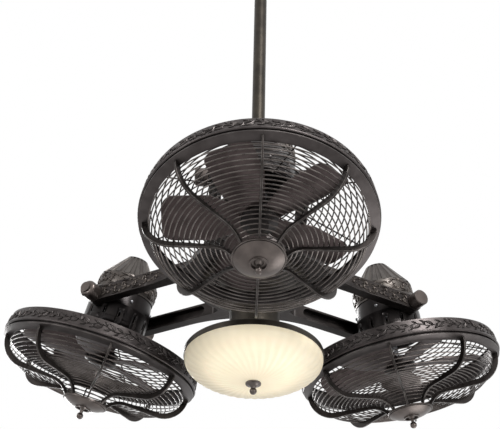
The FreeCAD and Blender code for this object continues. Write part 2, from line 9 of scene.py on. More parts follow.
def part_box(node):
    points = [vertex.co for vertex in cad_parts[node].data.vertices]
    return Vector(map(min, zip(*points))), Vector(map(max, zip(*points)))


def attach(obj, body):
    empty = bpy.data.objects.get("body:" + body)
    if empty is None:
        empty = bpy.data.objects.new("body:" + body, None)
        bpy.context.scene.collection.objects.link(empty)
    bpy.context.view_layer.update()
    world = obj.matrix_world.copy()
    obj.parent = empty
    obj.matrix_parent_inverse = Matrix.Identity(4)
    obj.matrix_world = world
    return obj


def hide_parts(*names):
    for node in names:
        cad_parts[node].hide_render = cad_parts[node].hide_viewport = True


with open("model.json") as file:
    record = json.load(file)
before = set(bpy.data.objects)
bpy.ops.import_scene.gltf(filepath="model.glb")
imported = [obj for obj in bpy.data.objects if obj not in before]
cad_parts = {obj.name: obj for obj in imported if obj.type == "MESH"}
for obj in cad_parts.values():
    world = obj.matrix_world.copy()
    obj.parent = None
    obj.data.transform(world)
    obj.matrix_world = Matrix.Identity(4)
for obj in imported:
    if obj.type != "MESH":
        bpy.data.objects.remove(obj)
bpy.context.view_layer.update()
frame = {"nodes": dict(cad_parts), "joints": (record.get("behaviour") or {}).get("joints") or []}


# Studio: a pale floor far below the hanging fan, a white surround and large soft lamps.
# The camera stands below the heads and in front of them, and looks up, as in the photograph.

def srgb(code):
    """Linear colour, with alpha, from an sRGB hex value."""
    channels = [int(code[i:i + 2], 16) / 255 for i in (1, 3, 5)]
    return [c / 12.92 if c <= 0.04045 else ((c + 0.055) / 1.055) ** 2.4 for c in channels] + [1.0]


def add(tree, kind, settings=None, links=None):
    """Node of a kind, with its sockets or properties set and its inputs linked."""
    made = tree.nodes.new(kind)
    for key, value in (settings or {}).items():
        if isinstance(key, int) or key in made.inputs:
            made.inputs[key].default_value = value
        else:
            setattr(made, key, value)
    for key, source in (links or {}).items():
        tree.links.new(source, made.inputs[key])
    return made


def seen_straight(tree):
    """1 where the camera, a reflection or glass looks at the studio, 0 where it only gives light."""
    ray = add(tree, "ShaderNodeLightPath").outputs
    seen = add(tree, "ShaderNodeMath", {"operation": "MAXIMUM"},
               {0: ray["Is Camera Ray"], 1: ray["Is Glossy Ray"]})
    seen = add(tree, "ShaderNodeMath", {"operation": "MAXIMUM"},
               {0: seen.outputs[0], 1: ray["Is Transmission Ray"]})
    return seen.outputs[0]


scene = bpy.context.scene
scene.view_settings.view_transform = "Standard"

# The surround is plain white to look at, and gives only a little light.
fill_light = 0.09
surround = bpy.data.worlds.new("white_surround")
surround.use_nodes = True
tree = surround.node_tree
tree.nodes.clear()
level = add(tree, "ShaderNodeMapRange", {"To Min": fill_light, "To Max": 1.0},
            {"Value": seen_straight(tree)})
back = add(tree, "ShaderNodeBackground", {"Color": srgb("#ffffff")}, {"Strength": level.outputs[0]})
add(tree, "ShaderNodeOutputWorld", {}, {"Surface": back.outputs[0]})
scene.world = surround

floor_z = -2.75
floor_half = 60.0
floor_corners = ((-1, -1), (1, -1), (1, 1), (-1, 1))
floor_points = [(x * floor_half, y * floor_half, floor_z) for x, y in floor_corners]
floor_mesh = bpy.data.meshes.new("floor")
floor_mesh.from_pydata(floor_points, [], [(0, 1, 2, 3)])
floor = bpy.data.objects.new("floor", floor_mesh)
scene.collection.objects.link(floor)

# Matt white floor paint: no gloss, a soft shadow, and clouds of tone that hardly show.
floor_rough = 0.9
floor_cloud_mm = 500.0
floor_white = 0.88        # share of plain white under the fan, so that the shadow still shows
floor_fade = (3.0, 14.0)  # it grows to full white between these distances, so that no horizon shows
floor_paint = bpy.data.materials.new("matt_white_floor_paint")
floor_paint.use_nodes = True
tree = floor_paint.node_tree
paint = tree.nodes["Principled BSDF"]
paint.inputs["Roughness"].default_value = floor_rough
place = add(tree, "ShaderNodeTexCoord").outputs["Object"]
cloud = add(tree, "ShaderNodeTexNoise", {"Scale": 1000 / floor_cloud_mm}, {"Vector": place})
tone = add(tree, "ShaderNodeMix", {"data_type": "RGBA", 6: srgb("#f4f3f1"), 7: srgb("#fbfbfa")},
           {0: cloud.outputs["Fac"]})
tree.links.new(tone.outputs[2], paint.inputs["Base Color"])
away = add(tree, "ShaderNodeVectorMath", {"operation": "LENGTH"}, {0: place})
paler = add(tree, "ShaderNodeMapRange",
            {"From Min": floor_fade[0], "From Max": floor_fade[1], "To Min": floor_white},
            {"Value": away.outputs["Value"]})
share = add(tree, "ShaderNodeMath", {"operation": "MULTIPLY"},
            {0: seen_straight(tree), 1: paler.outputs[0]})
white = add(tree, "ShaderNodeEmission", {"Color": srgb("#ffffff")})
both = add(tree, "ShaderNodeMixShader", {}, {0: share.outputs[0], 1: paint.outputs[0], 2: white.outputs[0]})

# The floor is clear from underneath, so that a camera below it still sees the fan.
under = add(tree, "ShaderNodeNewGeometry").outputs["Backfacing"]
clear = add(tree, "ShaderNodeBsdfTransparent")
one_sided = add(tree, "ShaderNodeMixShader", {}, {0: under, 1: both.outputs[0], 2: clear.outputs[0]})
tree.links.new(one_sided.outputs[0], tree.nodes["Material Output"].inputs["Surface"])
floor_mesh.materials.append(floor_paint)

# Each soft lamp's place, the side of its square and its power. All of them face the fan.
fan_middle = Vector((0, 0, -0.75))
studio_lamps = {"key": ((2.2, -2.7, -1.4), 0.8, 52),
                "fill": ((-2.7, -2.3, -0.6), 1.0, 40),
                "above": ((1.1, -2.3, 0.9), 0.7, 84),
                "low": ((1.2, 0.8, -2.2), 1.0, 12),
                "back": ((-1.2, 2.8, 0.2), 1.2, 70)}
for name, (lamp_at, size, power) in studio_lamps.items():
    lamp = bpy.data.lights.new(name, "AREA")
    lamp.size = size
    lamp.energy = power
    stand = bpy.data.objects.new("lamp_" + name, lamp)
    stand.location = lamp_at
    stand.rotation_euler = (fan_middle - Vector(lamp_at)).to_track_quat("-Z", "Y").to_euler()
    scene.collection.objects.link(stand)

# The camera's place, aim and lens are fitted to the rims, the bowl and the rod in the photograph.
camera_at = (-0.02708, -1.96196, -1.91865)
look = Vector((0.00605, 0.82452, 0.56580)).normalized()
right = Vector((0.99962, -0.02029, 0.01888)).normalized()
up = right.cross(look).normalized()
turn = Matrix((right, up, -look)).transposed()
camera = bpy.data.cameras.new("camera")
camera.sensor_width = 36.0
camera.lens = 88.18
camera.clip_end = 200
tripod = bpy.data.objects.new("camera", camera)
tripod.matrix_world = Matrix.Translation(camera_at) @ turn.to_4x4()
scene.collection.objects.link(tripod)
scene.camera = tripod


# Downrod: a plain steel pipe, dipped and baked in oil-rubbed bronze enamel.
# It stands in the hub's socket, and a pin of bare ground steel goes through both.

def oil_rubbed_bronze(name, dark, warm, paler_tone, rough=0.42, rub_highlight_share=0.55, corner_shade_low=0.45):
    """Baked bronze enamel: brown-black with a metal sheen, mottled over some centimetres.

    Edges are rubbed to a paler tone by a given share: wear, and a painted highlight as well. Corners get
    painted shade, darker by a given share.
    """
    metal = 0.8
    mottle_mm = 22.0
    mottle_ends = (0.35, 0.65)    # noise where the coat is fully dark and fully warm
    grain_mm = 1.6                # the real orange peel is finer than a pixel, so it is drawn coarser
    grain_deep_mm = 0.4
    grain_strength = 0.12
    edge_mm = 1.3
    edge_ends = (0.995, 0.80)     # how square the rounded face is to the true one: at a flat, at an edge
    corner_mm = 4.0
    corner_ends = (0.3, 0.8)      # how open the place is: in a corner, on a face
    gloss_ends = (-0.06, 0.08)    # how the mottle moves the roughness
    made = bpy.data.materials.new(name)
    made.use_nodes = True
    tree = made.node_tree
    finish = tree.nodes["Principled BSDF"]
    finish.inputs["Metallic"].default_value = metal
    place = add(tree, "ShaderNodeTexCoord").outputs["Object"]
    mottle = add(tree, "ShaderNodeTexNoise", {"Scale": 1000 / mottle_mm, "Detail": 4.0}, {"Vector": place})
    grain = add(tree, "ShaderNodeTexNoise", {"Scale": 1000 / grain_mm, "Detail": 2.0}, {"Vector": place})
    spread = add(tree, "ShaderNodeMapRange", {"From Min": mottle_ends[0], "From Max": mottle_ends[1]},
                 {"Value": mottle.outputs["Fac"]})
    coat = add(tree, "ShaderNodeMix", {"data_type": "RGBA", 6: srgb(dark), 7: srgb(warm)},
               {0: spread.outputs[0]})
    # Rubbed edges, found with a rounded normal: wear, and also a painted highlight on every edge.
    rounded = add(tree, "ShaderNodeBevel", {"samples": 4, "Radius": edge_mm / 1000})
    plain = add(tree, "ShaderNodeNewGeometry")
    facing = add(tree, "ShaderNodeVectorMath", {"operation": "DOT_PRODUCT"},
                 {0: rounded.outputs[0], 1: plain.outputs["Normal"]})
    edge = add(tree, "ShaderNodeMapRange",
               {"From Min": edge_ends[0], "From Max": edge_ends[1], "To Min": 0.0, "To Max": rub_highlight_share},
               {"Value": facing.outputs["Value"]})
    rub_highlight = add(tree, "ShaderNodeMath", {"operation": "MULTIPLY"},
                 {0: edge.outputs[0], 1: spread.outputs[0]})
    colour = add(tree, "ShaderNodeMix", {"data_type": "RGBA", 7: srgb(paler_tone)},
                 {0: rub_highlight.outputs[0], 6: coat.outputs[2]})
    # Painted shade: the colour is darkened in corners that the ambient occlusion finds.
    corner = add(tree, "ShaderNodeAmbientOcclusion", {"samples": 4, "Distance": corner_mm / 1000})
    corner_shade = add(tree, "ShaderNodeMapRange",
               {"From Min": corner_ends[0], "From Max": corner_ends[1], "To Min": corner_shade_low, "To Max": 1.0},
               {"Value": corner.outputs["AO"]})
    colour = add(tree, "ShaderNodeMix", {"data_type": "RGBA", "blend_type": "MULTIPLY", 0: 1.0},
                 {6: colour.outputs[2], 7: corner_shade.outputs[0]})
    tree.links.new(colour.outputs[2], finish.inputs["Base Color"])
    gloss = add(tree, "ShaderNodeMapRange",
                {"To Min": rough + gloss_ends[0], "To Max": rough + gloss_ends[1]},
                {"Value": mottle.outputs["Fac"]})
    tree.links.new(gloss.outputs[0], finish.inputs["Roughness"])
    peel = add(tree, "ShaderNodeBump", {"Strength": grain_strength, "Distance": grain_deep_mm / 1000},
               {"Height": grain.outputs["Fac"]})
    tree.links.new(peel.outputs[0], finish.inputs["Normal"])
    return made


def bare_steel(name, tone, paler_tone, rough):
    """Ground steel: grey and bright, with fine turning marks that break up its gloss."""
    marks_mm = 0.8
    gloss_ends = (-0.05, 0.1)
    made = bpy.data.materials.new(name)
    made.use_nodes = True
    tree = made.node_tree
    finish = tree.nodes["Principled BSDF"]
    finish.inputs["Metallic"].default_value = 1.0
    place = add(tree, "ShaderNodeTexCoord").outputs["Object"]
    marks = add(tree, "ShaderNodeTexNoise", {"Scale": 1000 / marks_mm, "Detail": 3.0}, {"Vector": place})
    colour = add(tree, "ShaderNodeMix", {"data_type": "RGBA", 6: srgb(tone), 7: srgb(paler_tone)},
                 {0: marks.outputs["Fac"]})
    tree.links.new(colour.outputs[2], finish.inputs["Base Color"])
    gloss = add(tree, "ShaderNodeMapRange",
                {"To Min": rough + gloss_ends[0], "To Max": rough + gloss_ends[1]},
                {"Value": marks.outputs["Fac"]})
    tree.links.new(gloss.outputs[0], finish.inputs["Roughness"])
    return made


def dress(nodes, finish):
    """Give CAD pieces a finish."""
    for node in nodes:
        mesh = frame["nodes"][node].data
        mesh.materials.clear()
        mesh.materials.append(finish)


# On pipe and sheet the enamel looks brown, with a soft sheen along its length.
enamel = oil_rubbed_bronze("oil_rubbed_bronze_enamel", "#2d2924", "#3b362f", "#8a8480")
ground_steel = bare_steel("ground_steel", "#77777a", "#9b9b9d", 0.35)
dress(["downrod"], enamel)
dress(["coupling_pin"], ground_steel)


# Hub and neck: the hub is a hollow casting with a socket for the rod, and the neck a spun shell under it.
# Both wear the baked enamel, which looks a little darker and greyer on the casting.

cast_enamel = oil_rubbed_bronze("bronze_enamel_on_casting", "#292524", "#373230", "#868180")
dress(["hub_body"], cast_enamel)
dress(["neck"], enamel)


# Arms: cast bars in pairs, each with a channel inside and a leaf scroll in low relief outside.
# The enamel is rubbed back on the raised leaves, and they get a lighter copy of it: rubbing, and a painted
# highlight too.

heads = ("front", "left", "right")
joints = {joint["name"]: joint for joint in frame["joints"]}
mm = 0.001
sunk = 0.4              # how far relief is let into its ground, mm
smooth_below = 40       # edges that turn less than this, in degrees, are shaded smooth


def each(*pieces):
    """Names of the same pieces on all the heads."""
    return [piece + "_" + head for piece in pieces for head in heads]


def skin(sections, loop=False):
    """Points and faces of a closed skin over rings of points; loop joins the last ring to the first."""
    count = len(sections[0])
    points = [point for section in sections for point in section]
    faces = []
    for i in range(len(sections) if loop else len(sections) - 1):
        here = i * count
        there = (i + 1) % len(sections) * count
        for k in range(count):
            after = (k + 1) % count
            faces.append((here + k, here + after, there + after, there + k))
    if not loop:
        faces.append(tuple(reversed(range(count))))
        faces.append(tuple(range(len(points) - count, len(points))))
    return points, faces


def make_piece(name, shapes, finish, body):
    """One mesh from several skins, in metres, that rides on a body."""
    points = []
    faces = []
    for shape_points, shape_faces in shapes:
        start = len(points)
        points += shape_points
        faces += [[start + i for i in face] for face in shape_faces]
    mesh = bpy.data.meshes.new(name)
    mesh.from_pydata(points, [], faces)
    cleaner = bmesh.new()
    cleaner.from_mesh(mesh)
    bmesh.ops.recalc_face_normals(cleaner, faces=cleaner.faces)
    cleaner.to_mesh(mesh)
    cleaner.free()
    mesh.shade_smooth()
    mesh.set_sharp_from_angle(angle=math.radians(smooth_below))
    mesh.materials.append(finish)
    made = bpy.data.objects.new(name, mesh)
    scene.collection.objects.link(made)
    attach(made, body)
    return made


def ribbon(path, wide, rise, profile):
    """Sections of a raised strip along (along, across) places; wide and rise take the share of its length.

    The profile lists places over the half width, from -1 to 1, with their share of the rise.
    """
    sections = []
    for i, (x, y) in enumerate(path):
        before = path[max(i - 1, 0)]
        after = path[min(i + 1, len(path) - 1)]
        heading = math.atan2(after[1] - before[1], after[0] - before[0])
        side = (-math.sin(heading), math.cos(heading))
        share = i / (len(path) - 1)
        half = wide(share)
        section = [(x + side[0] * half * t, y + side[1] * half * t, rise(share) * h) for t, h in profile]
        section += [(x + side[0] * half * t, y + side[1] * half * t, -sunk) for t in (1, -1)]
        sections.append(section)
    return sections


def leaf(start, heading, length, bend, height, slim=0.21):
    """Sections of a lobed leaf with a sunk rib, that curves away from its stalk.

    slim is its half width as a share of its length.
    """
    steps = 8
    lobes = 3
    lobe_deep = 0.22
    stalk = 0.05            # blunt stalk and tip: the part of a half wave that the outline takes up
    outline = 0.93
    thinnest = 0.12         # mm
    tip_fall = 0.45         # share of the height that is lost at the tip
    ribbed = ((-1, 0.05), (-0.6, 1.0), (-0.15, 0.75), (0, 0.45), (0.15, 0.75), (0.6, 1.0), (1, 0.05))
    step = length / steps
    path = [start]
    for i in range(steps):
        angle = heading + bend * i / steps
        path.append((path[-1][0] + math.cos(angle) * step, path[-1][1] + math.sin(angle) * step))

    def wide(share):
        lobed = 1 + lobe_deep * math.cos(2 * math.pi * lobes * share)
        return max(thinnest, slim * length * math.sin(math.pi * (stalk + outline * share)) * lobed)

    return ribbon(path, wide, lambda share: height * (1 - tip_fall * share), ribbed)


arched = ((-1, 0), (-0.6, 0.8), (0, 1), (0.6, 0.8), (1, 0))     # profile of stems and tendrils


def waving_stem(length, repeats, wave, half, rise, samples):
    """Sections of a stem that waves along a strip, with so many samples in each repeat."""
    line = []
    for i in range(samples * repeats + 1):
        along = length * i / (samples * repeats)
        line.append((along, wave * math.sin(2 * math.pi * along * repeats / length)))
    return ribbon(line, lambda share: half, lambda share: rise, arched)


def kept_on_strip(parts, width):
    """Relief parts with their tips drawn in, so that none hangs over the strip's edges."""
    edge = width / 2
    draw_in = 1.1

    def drawn_in(u, v, h):
        return (u, edge * math.tanh(draw_in * v / edge), h)

    return [[[drawn_in(*point) for point in section] for section in part] for part in parts]


def scroll(length, width, repeats, height):
    """Relief parts: a waving stem with a curled tendril and leaves in each hollow, along a strip."""
    half_wave = length / repeats / 2
    wave = 0.16 * width
    stem = 0.03 * width
    stem_rise = 0.5 * height
    curl_at = 0.55          # where the tendril's middle lies in a half wave
    curl_turn = 5.2         # radians
    curl_open = 0.30        # shares of the strip's width
    curl_close = 0.22
    curl_steps = 12
    curl_taper = 0.4
    curl_rise = (0.7, 0.3)  # shares of the height at its start, and added at its end
    leaf_bend = 1.2         # radians
    curl_leaves = ((1, 1.1, 0.50), (3, 0.9, 0.55), (5, 0.8, 0.46), (8, 0.9, 0.36))  # step, lean, length
    stem_leaves = ((0.2, 1.0, 0.46), (0.62, 0.85, 0.5))                            # place, lean, length
    parts = [waving_stem(length, repeats, wave, stem, stem_rise, samples=12)]
    for i in range(2 * repeats):
        way = 1 if i % 2 == 0 else -1
        middle = ((i + curl_at) * half_wave, -wave * way)
        curl = []
        for k in range(curl_steps + 1):
            share = k / curl_steps
            turn = math.pi + way * curl_turn * share
            reach = (curl_open - curl_close * share) * width
            curl.append((middle[0] + reach * math.cos(turn), middle[1] + reach * math.sin(turn)))
        parts.append(ribbon(curl, lambda share: stem * (1 - curl_taper * share),
                            lambda share: height * (curl_rise[0] + curl_rise[1] * share), arched))
        for k, lean, size in curl_leaves:
            heading = math.atan2(curl[k + 1][1] - curl[k][1], curl[k + 1][0] - curl[k][0])
            parts.append(leaf(curl[k], heading - way * lean, size * width, way * leaf_bend, height))
        for shift, lean, size in stem_leaves:
            start = ((i + shift) * half_wave, wave * way * math.sin(math.pi * shift))
            parts.append(leaf(start, way * lean, size * width, -way * leaf_bend, height))
    return kept_on_strip(parts, width)


def laid(parts, place):
    """Skins of relief parts, with (along, across, rise) turned into places in metres."""
    return [skin([[place(*point) for point in section] for section in part]) for part in parts]


# Rubbed enamel, in a lighter copy than the coat around it that also paints a highlight, with a browner
# sheen.
rubbed_highlit_relief = oil_rubbed_bronze("rubbed_highlit_bronze_relief", "#443e3b", "#554d47", "#938d87", rub_highlight_share=0.5)
arm_out = 84.0          # middle of the fork to an arm's outer face, mm
scroll_start = 150.0    # from the rod outwards, mm
scroll_end = 290.0
scroll_w = 26.0
scroll_repeats = 3
scroll_rise = 1.8
arm_relief = scroll(scroll_end - scroll_start, scroll_w, scroll_repeats, scroll_rise)
dress(each("arm_a", "arm_b"), cast_enamel)
for head in heads:
    pivot = Vector(joints["tilt_" + head]["pos_m"])
    across = Vector(joints["tilt_" + head]["axis"])
    out = Vector((pivot.x, pivot.y, 0)).normalized()
    for letter, side in (("a", 1), ("b", -1)):

        def on_arm(u, v, h):
            flat = out * (scroll_start + u) + across * side * (arm_out + h)
            return flat * mm + Vector((0, 0, pivot.z + v * mm))

        make_piece("arm_scroll_%s_%s" % (letter, head), laid(arm_relief, on_arm), rubbed_highlit_relief,
                   "frame")


# Clamp knobs and pivot caps: turned steel, enamelled, at the two ends of each pivot.
# The knob screws up against the arm and holds the head where it is tilted.

# On turned steel the enamel lies smooth and glossier. It is a lighter copy, painted light, with weaker
# painted shade in its corners.
lit_turned_enamel = oil_rubbed_bronze("lit_bronze_enamel_on_turned_steel", "#4f4845", "#605854", "#a09a97",
                                  rough=0.34, corner_shade_low=0.7)
dress(each("clamp_knob", "pivot_cap"), lit_turned_enamel)


# Motors: a cast housing with vents and a fluted cover behind it, whose band carries the leaf scroll.
# Round-head screws close the housing. Core, shaft and bearings inside are bare steel.

def head_frame(head):
    """Places in a head, in millimetres along its pivot, its height and its axis, turned into metres."""
    across = Vector(joints["tilt_" + head]["axis"])
    out = Vector(joints["spin_" + head]["axis"])
    turn = Matrix((across, out.cross(across), out)).transposed().to_4x4()
    return Matrix.Translation(joints["tilt_" + head]["pos_m"]) @ turn @ Matrix.Scale(mm, 4)


def round_about(radius, angle, z):
    """Place at a radius, an angle and a height about the axis."""
    return Vector((radius * math.cos(angle), radius * math.sin(angle), z))


# The housing's enamel is a darker copy, painted shade, so it looks nearly black. The cover's is a paler
# copy, painted light, and its flutes are rubbed paler still, wear with a painted highlight.
shaded_housing_enamel = oil_rubbed_bronze("shaded_bronze_enamel_on_motor_casting", "#1d1a1a", "#272322", "#7d7876",
                                   rough=0.3)
lit_cover_enamel = oil_rubbed_bronze("lit_bronze_enamel_on_fluted_cover", "#484340", "#57524e", "#9b9692",
                                 rough=0.36)
dress(each("motor_housing"), shaded_housing_enamel)
dress(each("motor_cover"), lit_cover_enamel)
dress(each("stator", "rotor", "bearings"), ground_steel)
cover_front = -35.0     # cover's ornamented band, measured forwards from the pivot, mm
cover_back = -65.5
cover_r = 57.5
cover_swell = 2.0
cover_scroll_w = 29.0
cover_scroll_repeats = 8
cover_scroll_rise = 1.5
screw_r = 3.2
screw_z = -12.0
screw_sides = 14
screw_dome = ((1.0, -1.0), (1.0, 0.6), (0.92, 1.3), (0.6, 1.9), (0.25, 2.1))    # share of radius, height
screw_turns = (-58, -122, 58, 122)
housing_r = 61.6
cover_relief = scroll(2 * math.pi * cover_r, cover_scroll_w, cover_scroll_repeats, cover_scroll_rise)
for head in heads:
    to_row = head_frame(head)

    def on_cover(u, v, h):
        share = 2 * v / (cover_front - cover_back)
        radius = cover_r + cover_swell * (1 - share * share) + h
        return to_row @ round_about(radius, u / cover_r, (cover_front + cover_back) / 2 + v)

    make_piece("cover_scroll_" + head, laid(cover_relief, on_cover), rubbed_highlit_relief,
               "head_" + head)
    screws = []
    for angle in screw_turns:
        seat = Matrix.Rotation(math.radians(angle), 4, "Z") @ Matrix.Translation((housing_r, 0, screw_z))
        stand = to_row @ seat @ Matrix.Rotation(math.radians(90), 4, "Y")
        rings = []
        for share, z in screw_dome:
            turns = [2 * math.pi * i / screw_sides for i in range(screw_sides)]
            rings.append([stand @ round_about(screw_r * share, turn, z) for turn in turns])
        screws.append(skin(rings))
    make_piece("housing_screws_" + head, screws, ground_steel, "head_" + head)


# Rims: a rolled steel band with a leaf garland pressed round it, a bead, and a smooth bezel in front.
# Band, garland and bezel wear one coat of the baked enamel, with painted shade that darkens the hollows.

def garland(length, width, repeats, height):
    """Relief parts: a waving stem with leaves on both sides, all leaning one way, along a strip."""
    wave = 0.15 * width
    stem = 0.035 * width
    stem_rise = 0.7 * height
    twigs = 7               # leaves in each repeat
    leaf_long = 0.74        # shares of the strip's width
    leaf_gain = 0.18        # longer where the stem leaves more room
    leaf_lean = 1.05        # radians
    leaf_bend = 0.8
    leaf_slim = 0.19
    period = length / repeats
    parts = [waving_stem(length, repeats, wave, stem, stem_rise, samples=14)]
    for i in range(twigs * repeats):
        way = 1 if i % 2 == 0 else -1
        turn = 2 * math.pi * i / twigs
        start = (period * i / twigs, wave * math.sin(turn))
        slope = math.atan2(2 * math.pi * wave * math.cos(turn), period)
        size = width * (leaf_long - leaf_gain * way * math.sin(turn))
        parts.append(leaf(start, slope + way * leaf_lean, size, -way * leaf_bend, height, slim=leaf_slim))
    return kept_on_strip(parts, width)


# Rolled steel takes a smooth coat: satin on the bezel, with painted shade that makes it nearly black
# between the leaves.
bezel_enamel = oil_rubbed_bronze("bronze_enamel_on_rolled_steel", "#3a3534", "#474241", "#8a8581",
                                 rough=0.38, corner_shade_low=0.22)
dress(each("rim_band"), bezel_enamel)
rim_z = 112.2           # groove of the rim, measured forwards from the pivot, mm
rim_r = 193.0
rim_flare = 2.8
rim_w = 30.4
groove_w = 3.5
bead = 2.5
band_z = rim_z - groove_w / 2 - 2 * bead
band_w = rim_w - groove_w / 2 - 2 * bead
garland_w = 21.0
garland_repeats = 22
garland_rise = 1.9
garland_shift = 0.6     # towards the bead, from the middle of the band
garland_z = band_z - band_w / 2 + garland_shift
rim_relief = garland(2 * math.pi * rim_r, garland_w, garland_repeats, garland_rise)
for head in heads:
    to_row = head_frame(head)

    def on_band(u, v, h):
        z = garland_z + v
        radius = rim_r - rim_flare * (band_z - z) / band_w + h
        return to_row @ round_about(radius, u / rim_r, z)

    make_piece("rim_scroll_" + head, laid(rim_relief, on_band), bezel_enamel,
               "head_" + head)


# Rear guards: drawn steel wire, ring by ring on eight radial wires, welded to a plate on the motor.
# The same baked enamel as the rims, over round wire.

wire = 2.3              # drawn wire, mm
wire_sides = 8
hoop_steps = 120


def hoop(radius, z, to_row):
    """Skin of a round wire ring about the head's axis."""
    sections = []
    for i in range(hoop_steps):
        angle = 2 * math.pi * i / hoop_steps
        section = []
        for k in range(wire_sides):
            turn = 2 * math.pi * k / wire_sides
            reach = radius + wire / 2 * math.cos(turn)
            section.append(to_row @ round_about(reach, angle, z + wire / 2 * math.sin(turn)))
        sections.append(section)
    return skin(sections, loop=True)


def bar(start, end, thickness, to_row):
    """Skin of a straight round wire between two places."""
    along = (end - start).normalized()
    side = along.orthogonal().normalized()
    other = along.cross(side)
    sections = []
    for point in (start, end):
        section = []
        for k in range(wire_sides):
            turn = 2 * math.pi * k / wire_sides
            offset = (side * math.cos(turn) + other * math.sin(turn)) * thickness / 2
            section.append(to_row @ (point + offset))
        sections.append(section)
    return skin(sections)


# Thin wire shows as a dark line with a narrow highlight.
wire_enamel = oil_rubbed_bronze("bronze_enamel_on_wire", "#2a2625", "#373231", "#7d7773", rough=0.32)
rear_rings = 15
rear_spokes = 8
spoke_t = wire * 1.15
spoke_back = Vector((0, 0, -wire * 0.8))    # the radial wires lie behind the rings
spoke_back_at_rim = spoke_back * 0.2
plate_r = 52.0
plate_t = 2.0
plate_hole = 13.1
plate_sides = 72
motor_front = 44.0
sheet = 2.5
rear_start = Vector((plate_r - wire, 0, motor_front + plate_t / 2))
rear_end = Vector((rim_r - rim_flare - sheet - wire / 2, 0, rim_z - rim_w + wire / 2))
plate_section = ((plate_hole, motor_front), (plate_r, motor_front), (plate_r, motor_front + plate_t),
                 (plate_hole, motor_front + plate_t))
for head in heads:
    to_row = head_frame(head)
    shapes = []
    for i in range(rear_rings):
        seat = rear_start.lerp(rear_end, (i + 1) / rear_rings)
        shapes.append(hoop(seat.x, seat.z, to_row))
    for i in range(rear_spokes):
        spin = Matrix.Rotation(2 * math.pi * (i + 0.5) / rear_spokes, 3, "Z")
        foot = spin @ (rear_start + spoke_back)
        tip = spin @ (rear_end + spoke_back_at_rim)
        shapes.append(bar(foot, tip, spoke_t, to_row))
    plate = []
    for i in range(plate_sides):
        spin = Matrix.Rotation(2 * math.pi * i / plate_sides, 3, "Z")
        plate.append([to_row @ (spin @ Vector((r, 0, z))) for r, z in plate_section])
    shapes.append(skin(plate, loop=True))
    guard = make_piece("rear_wires_" + head, shapes, wire_enamel, "head_" + head)
    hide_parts("rear_guard_" + head)


# Blades: pressed aluminium paddles, riveted to a cast hub on the motor's shaft.
# The hub wears the housing's darker copy of the coat, which is painted shade.

# The blades' enamel is a little redder than the frame's, with a broad dull sheen on the flat paddles.
blade_enamel = oil_rubbed_bronze("brown_enamel_on_pressed_aluminium", "#423938", "#4f4544", "#8b8078",
                                 rough=0.38)
dress(each("blades"), blade_enamel)
dress(each("blade_hub"), shaded_housing_enamel)


# Front guards: eight flat steel straps on edge, bent from the bezel over a shoulder to the cap.
# Ring wires are welded behind the straps, and all of it is enamelled as one cage.

# The straps' front edges are rubbed bright: wear, and a painted highlight. The rings get a lighter copy of
# the enamel, a painted highlight, and are glossier than the straps.
strap_enamel = oil_rubbed_bronze("bronze_enamel_on_strap", "#2d2927", "#3a3533", "#a8a29d",
                                 rough=0.34, rub_highlight_share=0.9)
highlit_ring_enamel = oil_rubbed_bronze("highlit_bronze_enamel_on_ring_wire", "#433d3a", "#524b48", "#a8a29d",
                                rough=0.28)
straps = 8
strap_t = 3.6
strap_w = 10.5
strap_tip_w = 6.5
strap_root = 5.0        # outer edge of the rim to the strap, mm
strap_riser = 2.8
strap_rounding = 0.5
shoulder_r = 50.0
shoulder_steps = 12
throat_rise = 20.0
throat_turn = math.radians(60)
throat_steps = 10
cap_r = 43.5
cap_overhang = 1.5
bezel_w = 16.5
bezel_edge = 3.5        # height of the bezel at its outer edge, mm
bezel_rise = 9.0        # and at its inner edge
front_rings = 20
root_r = rim_r - strap_root
flat_z = rim_z + bezel_edge + strap_root / bezel_w * (bezel_rise - bezel_edge) + strap_riser + shoulder_r
throat_r = throat_rise / (1 - math.cos(throat_turn))
throat_x = cap_r - cap_overhang + throat_r * math.sin(throat_turn)


def strap_line(width, tip_width):
    """Places along a strap's edge, set back from its outer edge, in one plane through the axis."""
    foot = root_r - width
    bezel = rim_z + bezel_edge + (rim_r - foot) / bezel_w * (bezel_rise - bezel_edge)
    places = [Vector((foot, 0, bezel))]
    bend = shoulder_r - width
    for i in range(shoulder_steps + 1):
        angle = math.pi / 2 * i / shoulder_steps
        places.append(Vector((root_r - shoulder_r + bend * math.cos(angle), 0,
                              flat_z - shoulder_r + bend * math.sin(angle))))
    bend = throat_r + tip_width
    for i in range(throat_steps + 1):
        angle = throat_turn * i / throat_steps
        places.append(Vector((throat_x - bend * math.sin(angle), 0,
                              flat_z + throat_r - bend * math.cos(angle))))
    return places


def spaced(places, count):
    """Evenly spaced places along a line, without its ends."""
    lengths = [(b - a).length for a, b in zip(places, places[1:])]
    total = sum(lengths)
    found = []
    for i in range(count):
        goal = total * (i + 1) / (count + 1)
        for (a, b), length in zip(zip(places, places[1:]), lengths):
            if goal <= length:
                found.append(a.lerp(b, goal / length))
                break
            goal -= length
    return found


